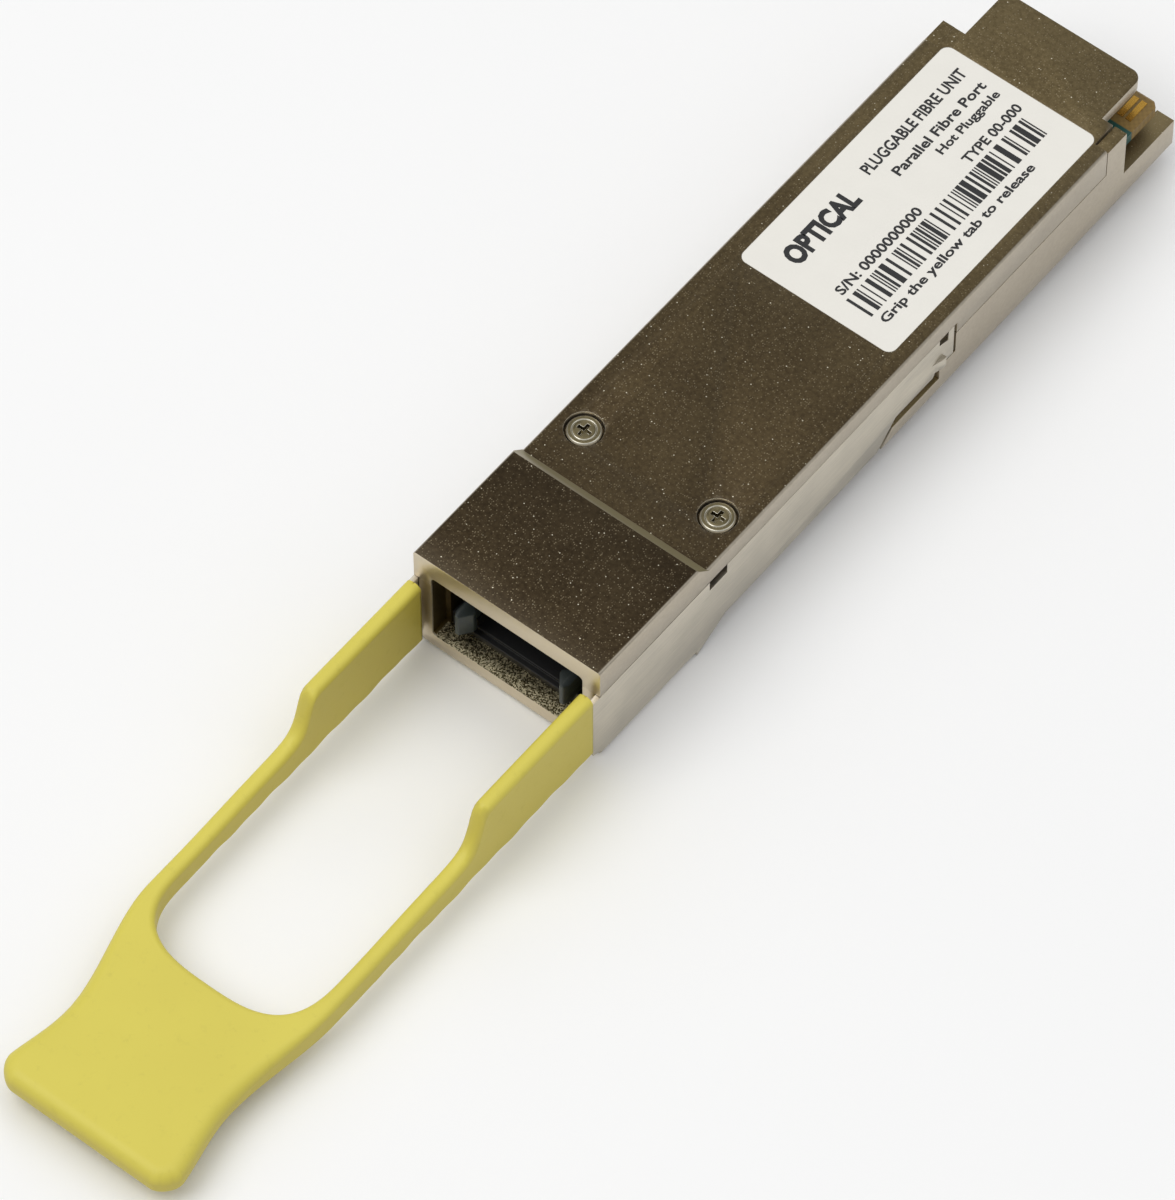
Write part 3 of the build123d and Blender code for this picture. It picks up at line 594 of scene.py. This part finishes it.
# %% The band between the outlines
def tab_outlines(straight=110, round_pad=110):
    """Right half of both outlines: shared ribs first, then the rounded pad."""
    along = np.linspace(plate_front, level_start, straight)
    outer = np.stack([np.full(straight, outer_x), along], 1)
    inner = np.stack([np.full(straight, outer_x - thickness), along], 1)
    outer = np.concatenate([outer, [(outer_x, arm_start)], even(waist_path, round_pad)[1:]])
    inner = np.concatenate([inner, even(window_corner(), round_pad)])
    return outer, inner


def tab_band(straight=110):
    """Corner points and faces of the band, before its edges are rounded."""
    outer, inner = tab_outlines(straight)
    flip = np.array([-1, 1])
    outer = np.concatenate([outer, outer[-2::-1] * flip])
    inner = np.concatenate([inner, inner[-2::-1] * flip])
    for path in (outer, inner):
        bent = np.clip((bend_start - path[:, 1]) / bend_length, 0, 1)
        path[:, 0] += bend * bent * bent * (3 - 2 * bent)

    def top_of(path):
        """Height of the top edge: the dip, then the smooth sink."""
        past = np.clip(dip_start - path[:, 1], 0, None)
        top = arm_top + (plate_top - arm_top) / (1 + (past / dip_length) ** 3)
        sink = np.clip((sink_start - path[:, 1]) / (sink_start - level_start), 0, 1)
        top = top - pad_sink * sink * sink * (3 - 2 * sink)
        return np.where(path[:, 1] <= level_start + 0.001, level_top, top)

    def low_of(path):
        """Height of the lower edge: two sine waves that fade at both ends."""
        ripple = np.sin(path[:, 1] * ripple_fine)
        ripple = ripple + np.sin(path[:, 1] * ripple_coarse + np.sign(path[:, 0]))
        level = np.clip((path[:, 1] - level_start) / 4, 0, 1)
        level = level * np.clip((-1.5 - path[:, 1]) / 2, 0, 1)
        return bottom + ripple_height * (1 + ripple / 2) * level

    low_outer = np.column_stack([outer, low_of(outer)])
    low_inner = np.column_stack([inner, low_of(inner)])
    high_outer = np.column_stack([outer, top_of(outer)])
    high_inner = np.column_stack([inner, top_of(inner)])
    points = np.concatenate([low_outer, high_outer, high_inner, low_inner])
    m, n = len(outer), len(inner)
    a, b, c, d = 0, m, 2 * m, 2 * m + n
    faces = [(a + i, b + i, b + i + 1, a + i + 1) for i in range(m - 1)]
    faces += [(d + i, c + i, c + i + 1, d + i + 1) for i in range(n - 1)]
    for i in range(straight - 1):
        for o, p in ((i, i), (m - 2 - i, n - 2 - i)):
            faces.append((b + o, c + p, c + p + 1, b + o + 1))
            faces.append((a + o, d + p, d + p + 1, a + o + 1))
    first, last_o, last_i = straight - 1, m - straight, n - straight
    faces.append(
        tuple(range(b + first, b + last_o + 1)) + tuple(range(c + last_i, c + first - 1, -1))
    )
    faces.append(
        tuple(range(a + first, a + last_o + 1)) + tuple(range(d + last_i, d + first - 1, -1))
    )
    faces.append((a, b, c, d))
    faces.append((a + m - 1, b + m - 1, c + n - 1, d + n - 1))
    return points, faces


def closed_piece(name, points, faces):
    """An object from points in mm and faces, with every face turned outwards."""
    mesh = bpy.data.meshes.new(name)
    mesh.from_pydata((points * MM).tolist(), [], faces)
    work = bmesh.new()
    work.from_mesh(mesh)
    bmesh.ops.recalc_face_normals(work, faces=work.faces)
    for face in work.faces:
        face.smooth = True
    work.to_mesh(mesh)
    work.free()
    piece = bpy.data.objects.new(name, mesh)
    bpy.context.scene.collection.objects.link(piece)
    return piece


tab = closed_piece("pull_tab_moulding", *tab_band())

# %% [markdown]
# The rounding is 0.62 mm on the slender arms and grows to 1.2 mm round the
# pad, so each long edge carries a weight: its share of the largest rounding.
# The flat ends that butt against the steel keep a weight of nothing.

# %% Round the long edges
LARGEST_ROUNDING = 1.2
ARM_SHARE = 0.52            # share of the largest rounding on the arms
GROWTH_START = -34.0        # the outside edge grows from here, over this length
GROWTH_LENGTH = 9.0
work = bmesh.new()
work.from_mesh(tab.data)
share = work.edges.layers.float.new("bevel_weight_edge")
outer_count = 2 * (len(tab_outlines()[0]) * 2 - 1)
for edge in work.edges:
    ends = [v.co / MM for v in edge.verts]
    at_front = min(v.y for v in ends) > plate_front - 0.01
    if at_front or edge.calc_face_angle(0) < math.radians(50):
        continue
    grown = min(1.0, max(0.0, (GROWTH_START - ends[0].y) / GROWTH_LENGTH))
    on_outside = min(v.index for v in edge.verts) < outer_count
    edge[share] = ARM_SHARE + ((1 - ARM_SHARE) * grown if on_outside else 0.0)
work.to_mesh(tab.data)
work.free()
rounding = tab.modifiers.new("mould_radius", "BEVEL")
rounding.width = LARGEST_ROUNDING * MM
rounding.segments = 7
rounding.limit_method = "WEIGHT"
rounding.use_clamp_overlap = False
rounding.harden_normals = True
dress(tab, "soft_yellow")
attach(tab, "release")
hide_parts("pull_tab")
print("tab:", len(tab.data.vertices), "points before rounding")

# %% [markdown]
# ## The label's print
# The print is a thin layer of ink: words, a serial line and a row of bars.
# The words are plain and generic.  Each is a text curve turned into a mesh,
# then stretched to its place, reading towards the rear of the module.

# %% Ink on the label
label_low, label_high = (np.array(c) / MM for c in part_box("label"))
ink = moulded("label_ink", linear(26, 26, 28), 0.1, 6.0, 0.002, 0.45)
INK_HEIGHT = 0.012


def printed_words(words, start, end, low, high, weight=0.0):
    """Points and faces of words that fill a strip of the label, in mm.

    Text runs along Y from start to end; letters stand from X = high (foot) to
    X = low (head).
    """
    curve = bpy.data.curves.new("words", "FONT")
    curve.body = words
    curve.offset = weight
    curve.resolution_u = 3
    carrier = bpy.data.objects.new("words", curve)
    bpy.context.scene.collection.objects.link(carrier)
    bpy.context.view_layer.update()
    mesh = bpy.data.meshes.new_from_object(
        carrier.evaluated_get(bpy.context.evaluated_depsgraph_get())
    )
    points = np.empty(len(mesh.vertices) * 3)
    mesh.vertices.foreach_get("co", points)
    points = points.reshape(-1, 3)
    faces = [tuple(p.vertices) for p in mesh.polygons]
    bpy.data.objects.remove(carrier)
    low_end, high_end = points.min(0), points.max(0)
    run = (points[:, 0] - low_end[0]) / (high_end[0] - low_end[0])
    rise = (points[:, 1] - low_end[1]) / (high_end[1] - low_end[1])
    placed = np.stack(
        [high + (low - high) * rise, start + (end - start) * run, np.zeros(len(run))], 1
    )
    return placed, faces


def printed_bars(start, end, low, high, seed=7):
    """Bars of random width side by side between start and end."""
    draw = np.random.default_rng(seed)
    widths = draw.choice([1, 2, 3, 4], size=90, p=[0.45, 0.25, 0.18, 0.12]).astype(float)
    edges = np.concatenate([[0], np.cumsum(widths)])
    edges = start + (end - start) * edges / edges[-1]
    left, right = edges[0:-1:2], edges[1::2]
    corners = np.stack(
        [
            np.stack([np.full_like(left, high), left], 1),
            np.stack([np.full_like(left, high), right], 1),
            np.stack([np.full_like(left, low), right], 1),
            np.stack([np.full_like(left, low), left], 1),
        ],
        1,
    ).reshape(-1, 2)
    points = np.concatenate([corners, np.zeros((len(corners), 1))], 1)
    faces = [tuple(range(4 * n, 4 * n + 4)) for n in range(len(left))]
    return points, faces


strips = [
    printed_words("OPTICAL", 40.6, 48.9, -5.1, -3.05, 0.05),
    printed_words("PLUGGABLE FIBRE UNIT", 51.2, 64.1, -5.3, -4.2, 0.026),
    printed_words("Parallel Fibre Port", 52.6, 64.1, -3.2, -2.25, 0.026),
    printed_words("Hot Pluggable", 56.4, 64.1, -1.7, -0.65, 0.026),
    printed_words("S/N: 0000000000", 40.5, 51.0, 0.4, 1.35, 0.026),
    printed_words("TYPE 00-000", 57.0, 64.1, 0.4, 1.35, 0.026),
    printed_bars(40.3, 63.4, 1.8, 4.35),
    printed_words("Grip the yellow tab to release", 40.5, 60.0, 4.85, 5.95, 0.026),
]
ink_points, ink_faces, count = [], [], 0
for points, faces in strips:
    ink_points.append(points)
    ink_faces += [tuple(int(v) + count for v in face) for face in faces]
    count += len(points)
ink_points = np.concatenate(ink_points)
ink_points[:, 2] = label_high[2] + 0.002
mesh = bpy.data.meshes.new("label_print")
mesh.from_pydata((ink_points * MM).tolist(), [], ink_faces)
work = bmesh.new()
work.from_mesh(mesh)
bmesh.ops.remove_doubles(work, verts=work.verts, dist=0.0002 * MM)
for face in work.faces:
    if face.normal.z < 0:
        face.normal_flip()
work.to_mesh(mesh)
work.free()
label_print = bpy.data.objects.new("label_print", mesh)
bpy.context.scene.collection.objects.link(label_print)
label_print.data.materials.append(ink)
thicken = label_print.modifiers.new("ink", "SOLIDIFY")
thicken.thickness = INK_HEIGHT * MM
thicken.offset = 1
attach(label_print, "module")
print("print:", len(mesh.polygons), "faces")

# %% [markdown]
# ## Floor, light and camera
# The floor is plain and pale.  The key lamp stands in front, to the left of
# the camera.  A wide lamp hangs overhead, two weak ones fill from the right
# and from behind, and the sky is even.

# %% The floor
floor_z = cad_low[2] - 0.02 * MM
mesh = bpy.data.meshes.new("floor")
reach = 3.0
mesh.from_pydata(
    [(-reach, -reach, floor_z), (reach, -reach, floor_z), (reach, reach, floor_z),
     (-reach, reach, floor_z)], [], [(0, 1, 2, 3)],
)
floor = bpy.data.objects.new("floor", mesh)
bpy.context.scene.collection.objects.link(floor)
floor_finish = Finish("pale_floor", Roughness=0.9)
cloud = floor_finish.noise(0.02, 2.0)
floor_finish.wear(
    Base_Color=floor_finish.mix(cloud, linear(250, 250, 250), linear(253, 253, 253))
)
floor.data.materials.append(floor_finish.material)

# %% Lights and sky
def lamp(name, place, aim, size, watts, colour=(1, 1, 1)):
    """A round area lamp at a place, turned towards what it lights."""
    light = bpy.data.lights.new(name, "AREA")
    light.shape = "DISK"
    light.size = size
    light.energy = watts
    light.color = colour
    holder = bpy.data.objects.new(name, light)
    bpy.context.scene.collection.objects.link(holder)
    holder.location = place
    holder.rotation_mode = "QUATERNION"
    holder.rotation_quaternion = (Vector(aim) - Vector(place)).to_track_quat("-Z", "Y")


centre = (0.0, 0.012, 0.0)
lamp("key", (-0.30, -0.42, 0.85), centre, 0.8, 3.6, (1.0, 0.99, 0.97))
lamp("overhead", (0.05, 0.10, 1.05), centre, 1.3, 3.4)
lamp("fill", (0.55, 0.35, 0.75), centre, 0.8, 0.8, (0.98, 0.99, 1.0))
lamp("rear", (-0.55, 0.7, 0.6), centre, 0.6, 0.8)
world = bpy.data.worlds.new("sky")
bpy.context.scene.world = world
world.use_nodes = True
world.node_tree.nodes["Background"].inputs["Color"].default_value = (0.93, 0.94, 0.95, 1)
world.node_tree.nodes["Background"].inputs["Strength"].default_value = 0.42
bpy.context.scene.view_settings.view_transform = "Standard"

# %% The camera
azimuth, elevation, roll = math.radians(38.638), math.radians(55.842), math.radians(0.133)
aim = Vector((0.87, 8.88, 2.0)) * MM
back = Vector(
    (
        math.sin(azimuth) * math.cos(elevation),
        -math.cos(azimuth) * math.cos(elevation),
        math.sin(elevation),
    )
)
camera_data = bpy.data.cameras.new("camera")
camera_data.sensor_width = 36.0
camera_data.lens = 266.01
camera_data.clip_start = 0.05
camera_data.clip_end = 20.0
camera = bpy.data.objects.new("camera", camera_data)
bpy.context.scene.collection.objects.link(camera)
camera.location = aim + back * 0.68822
camera.rotation_mode = "QUATERNION"
turn = (-back).to_track_quat("-Z", "Y").to_matrix() @ Matrix.Rotation(-roll, 3, "Z")
camera.rotation_quaternion = turn.to_quaternion()
bpy.context.scene.camera = camera
